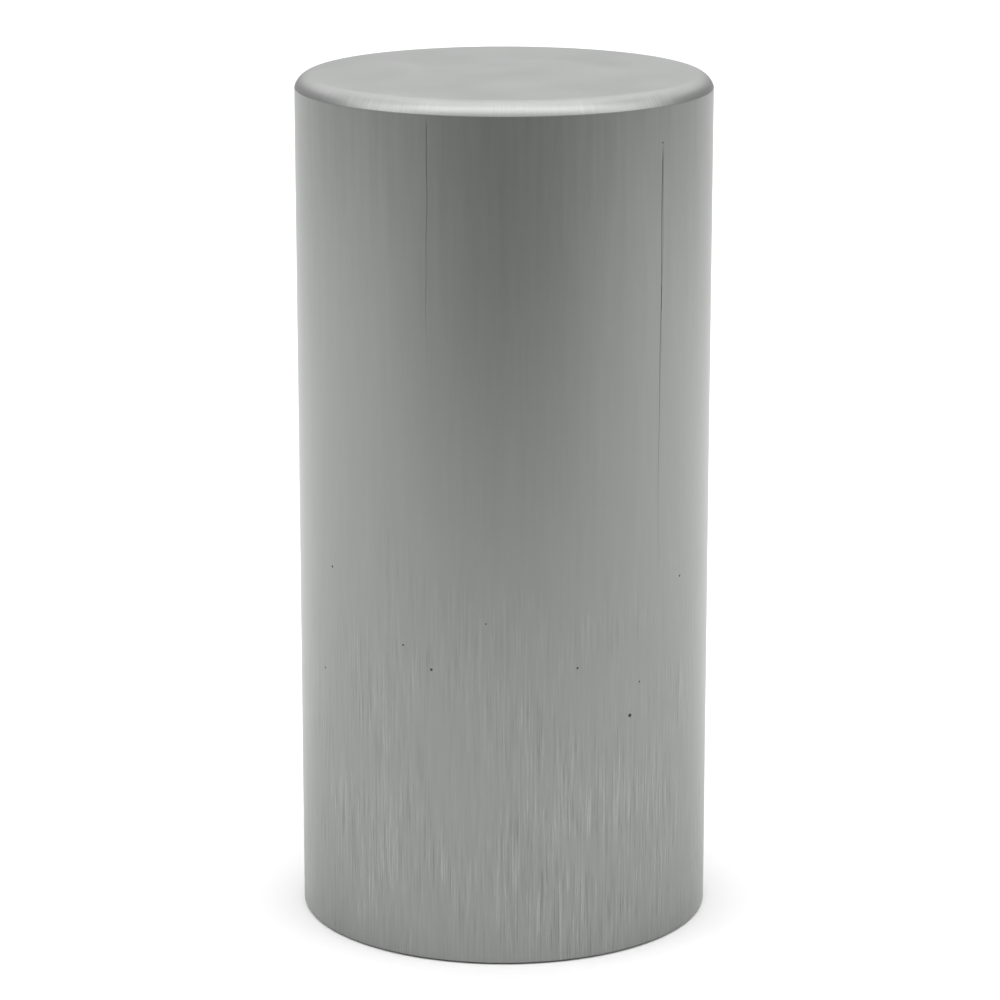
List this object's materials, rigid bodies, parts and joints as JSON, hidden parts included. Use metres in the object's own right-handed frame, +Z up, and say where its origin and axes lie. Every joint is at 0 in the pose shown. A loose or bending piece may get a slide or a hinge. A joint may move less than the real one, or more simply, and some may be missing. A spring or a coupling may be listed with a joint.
{
  "type": "cryptex",
  "caption": "Pocket cryptex: numbered dials turn on a slotted barrel and free an inner vault tube that draws out by its knob, under a plain drawn aluminium cover.",
  "frame": {"origin": "on the table, at the centre of the felt foot", "axes": "+Z up along the barrel, towards the crown of the cover; -Y towards the key slot, the index dots and the digits that are set"},
  "size_m": [0.056, 0.056, 0.116],
  "materials": {
    "drawn_aluminium": "bare, with vertical draw lines",
    "turned_aluminium": "fine turned, clear anodised",
    "lock_aluminium": "machined",
    "brass": "drawn and lacquered",
    "spring_steel": "hardened strip",
    "black_steel": "black oxide",
    "felt": "pressed wool",
    "rubber": "moulded"
  },
  "bodies": {
    "standing_part": {"foot_felt": "felt", "base_cap": "turned_aluminium", "cover_o_ring": "rubber", "base_screw_1": "black_steel", "base_screw_2": "black_steel", "base_screw_3": "black_steel", "barrel": "lock_aluminium", "bore_felt": "felt", "lower_collar": "turned_aluminium", "upper_collar": "turned_aluminium", "lower_set_screw_1": "black_steel", "lower_set_screw_2": "black_steel", "lower_index_dot": "brass", "upper_set_screw_1": "black_steel", "upper_set_screw_2": "black_steel", "upper_index_dot": "brass", "click_washer_1": "spring_steel", "click_washer_2": "spring_steel", "click_washer_3": "spring_steel", "click_washer_4": "spring_steel", "click_washer_5": "spring_steel", "wave_spring": "spring_steel"},
    "dial_unit_1": {"dial_1": "turned_aluminium", "lock_ring_1": "lock_aluminium"},
    "dial_unit_2": {"dial_2": "turned_aluminium", "lock_ring_2": "lock_aluminium"},
    "dial_unit_3": {"dial_3": "turned_aluminium", "lock_ring_3": "lock_aluminium"},
    "dial_unit_4": {"dial_4": "turned_aluminium", "lock_ring_4": "lock_aluminium"},
    "dial_unit_5": {"dial_5": "turned_aluminium", "lock_ring_5": "lock_aluminium"},
    "vault": {"vault_tube": "brass", "key_bar": "brass", "key_screw_1": "black_steel", "key_screw_2": "black_steel", "key_screw_3": "black_steel", "vault_knob": "turned_aluminium", "knob_pin": "black_steel"},
    "cover_unit": {"cover": "drawn_aluminium", "crown_felt": "felt"}
  },
  "joints": [
    {"name": "dial_1_turn", "type": "hinge", "parent": "standing_part", "child": "dial_unit_1", "pos_m": [0, 0, 0.0245], "axis": [0, 0, 1], "continuous": true, "deforming": ["click_washer_1"]},
    {"name": "dial_2_turn", "type": "hinge", "parent": "standing_part", "child": "dial_unit_2", "pos_m": [0, 0, 0.0383], "axis": [0, 0, 1], "continuous": true, "deforming": ["click_washer_2"]},
    {"name": "dial_3_turn", "type": "hinge", "parent": "standing_part", "child": "dial_unit_3", "pos_m": [0, 0, 0.0521], "axis": [0, 0, 1], "continuous": true, "deforming": ["click_washer_3"]},
    {"name": "dial_4_turn", "type": "hinge", "parent": "standing_part", "child": "dial_unit_4", "pos_m": [0, 0, 0.0659], "axis": [0, 0, 1], "continuous": true, "deforming": ["click_washer_4"]},
    {"name": "dial_5_turn", "type": "hinge", "parent": "standing_part", "child": "dial_unit_5", "pos_m": [0, 0, 0.0797], "axis": [0, 0, 1], "continuous": true, "deforming": ["click_washer_5"]},
    {"name": "vault_draw", "type": "slide", "parent": "standing_part", "child": "vault", "axis": [0, 0, 1], "range_m": [0, 0.086]},
    {"name": "cover_lift", "type": "slide", "parent": "vault", "child": "cover_unit", "axis": [0, 0, 1], "range_m": [0, 0.118]}
  ]
}
